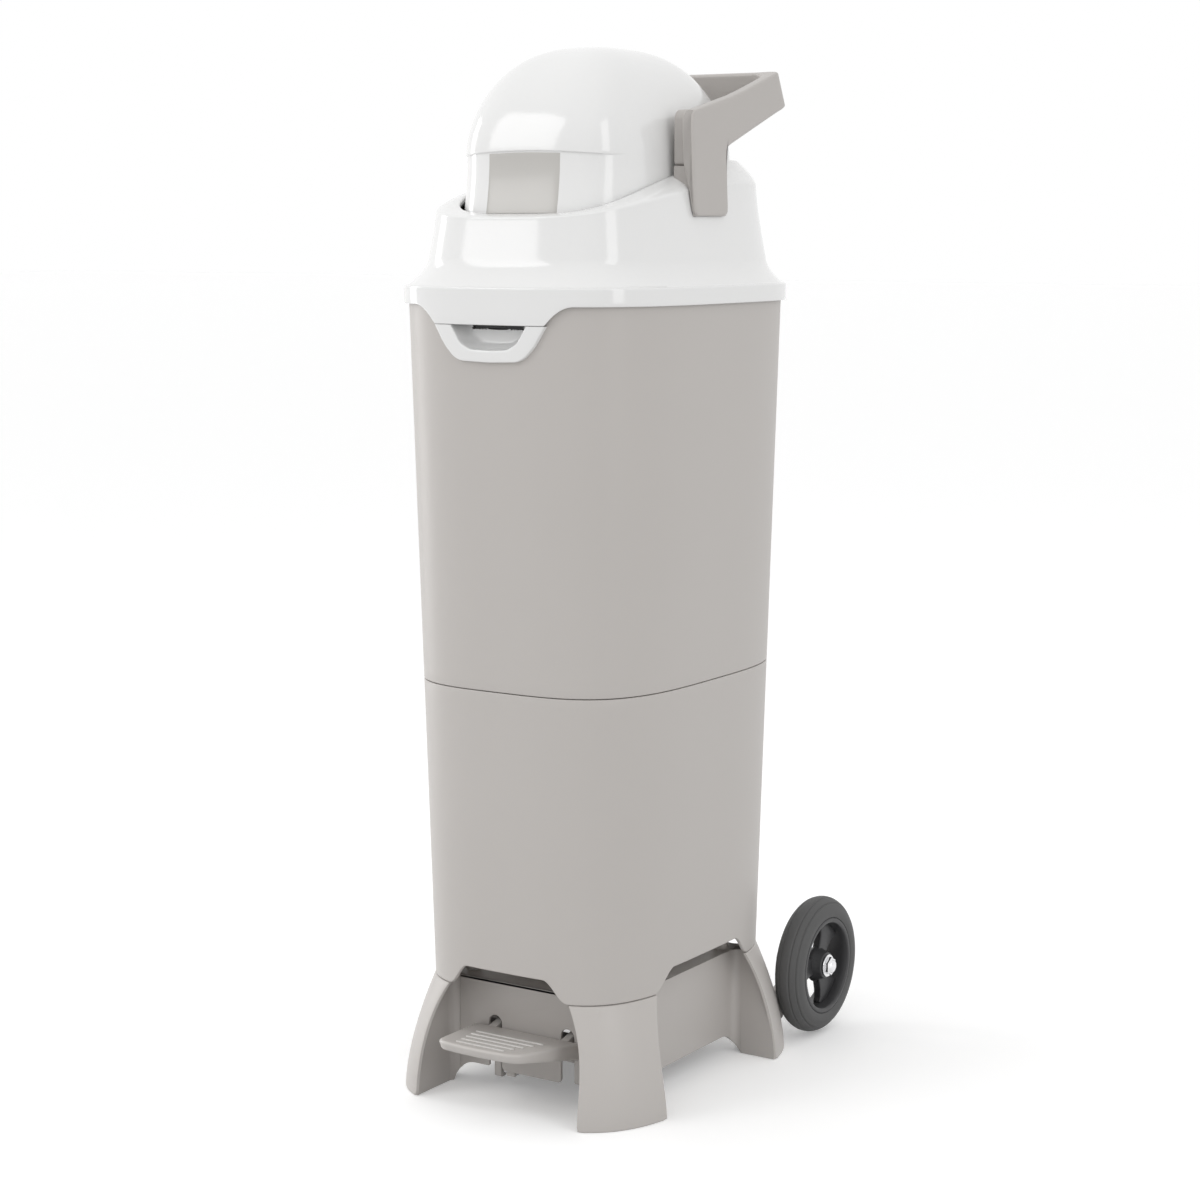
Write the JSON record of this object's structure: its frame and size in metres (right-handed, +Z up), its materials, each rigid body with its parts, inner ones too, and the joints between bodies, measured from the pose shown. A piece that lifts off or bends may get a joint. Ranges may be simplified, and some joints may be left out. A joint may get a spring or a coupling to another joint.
{
  "type": "nappy bin",
  "caption": "Tall pedal-operated nappy bin with a tipping dome hood, hinged lid, carrying handle, flared legged base and rear wheels.",
  "frame": {"origin": "on the floor, midway between the pedal's front edge and the back of the wheels, on the middle plane", "axes": "+Z up, -Y towards the front where the pedal is, +X to the right seen from the front"},
  "size_m": [0.2946, 0.473, 0.9495],
  "materials": {
    "white_shell": "gloss",
    "body_shell": "satin",
    "trim": "satin",
    "window": "gloss",
    "black_plastic": "satin",
    "wheel_hub": "satin",
    "tyre": "matt rubber",
    "chrome": "polished",
    "steel": "zinc plated"
  },
  "bodies": {
    "root": {"base": "body_shell", "lower_body": "body_shell", "upper_body": "body_shell", "latch_frame": "white_shell", "bag_ring": "black_plastic", "rod_guide_lower": "trim", "rod_guide_upper": "trim", "floor_bush": "black_plastic", "return_spring": "steel", "wheel_bracket_left": "body_shell", "wheel_bracket_right": "body_shell", "axle_bolt_left": "steel", "axle_bolt_right": "steel", "axle_washers": "chrome", "cap_nuts": "chrome", "lid_hinge_pin": "steel", "base_screws": "steel", "bracket_screws": "steel"},
    "lid": {"collar": "white_shell", "handle": "trim", "pivot_block_left": "trim", "pivot_block_right": "trim", "plunger_guide": "trim", "latch_pin": "steel", "latch_spring": "steel", "handle_screws": "steel"},
    "hood": {"hood": "white_shell", "hood_window": "window", "hood_pin_left": "steel", "hood_pin_right": "steel", "crank": "steel"},
    "plunger": {"plunger": "steel"},
    "latch": {"latch_lever": "black_plastic"},
    "push_rod": {"push_rod": "steel", "rod_cap": "black_plastic"},
    "pedal": {"pedal": "body_shell", "pedal_lever": "steel", "pedal_rod": "steel", "pedal_stop_pin": "steel"},
    "wheel_left": {"tyre_left": "tyre", "hub_left": "wheel_hub", "bush_left": "steel"},
    "wheel_right": {"tyre_right": "tyre", "hub_right": "wheel_hub", "bush_right": "steel"}
  },
  "joints": [
    {"name": "lid_open", "type": "hinge", "parent": "root", "child": "lid", "pos_m": [0, 0.1545, 0.716], "axis": [-1, 0, 0], "range_deg": [0, 95]},
    {"name": "hood_turn", "type": "hinge", "parent": "lid", "child": "hood", "pos_m": [0, -0.0295, 0.866], "axis": [-1, 0, 0], "range_deg": [0, 80]},
    {"name": "plunger_lift", "type": "slide", "parent": "lid", "child": "plunger", "axis": [0, 0, 1], "range_m": [0, 0.02067]},
    {"name": "rod_lift", "type": "slide", "parent": "root", "child": "push_rod", "axis": [0, 0, 1], "range_m": [0, 0.02067], "deforming": ["return_spring"]},
    {"name": "pedal_press", "type": "hinge", "parent": "root", "child": "pedal", "pos_m": [0, -0.1275, 0.057], "axis": [1, 0, 0], "range_deg": [0, 14.01], "stiffness_Nm_per_rad": 4, "springref_deg": -14.32},
    {"name": "latch_swing", "type": "hinge", "parent": "lid", "child": "latch", "pos_m": [0, -0.1802, 0.726], "axis": [1, 0, 0], "range_deg": [0, 12], "stiffness_Nm_per_rad": 0.05, "springref_deg": -8.59},
    {"name": "wheel_spin_left", "type": "hinge", "parent": "root", "child": "wheel_left", "pos_m": [0, 0.1695, 0.069], "axis": [1, 0, 0], "continuous": true},
    {"name": "wheel_spin_right", "type": "hinge", "parent": "root", "child": "wheel_right", "pos_m": [0, 0.1695, 0.069], "axis": [1, 0, 0], "continuous": true}
  ],
  "couplings": [
    {"joint": "pedal_press", "follows": "hood_turn", "ratio": 0.17451},
    {"joint": "rod_lift", "follows": "hood_turn", "m_per_rad": 0.014732},
    {"joint": "plunger_lift", "follows": "hood_turn", "m_per_rad": 0.014732}
  ]
}
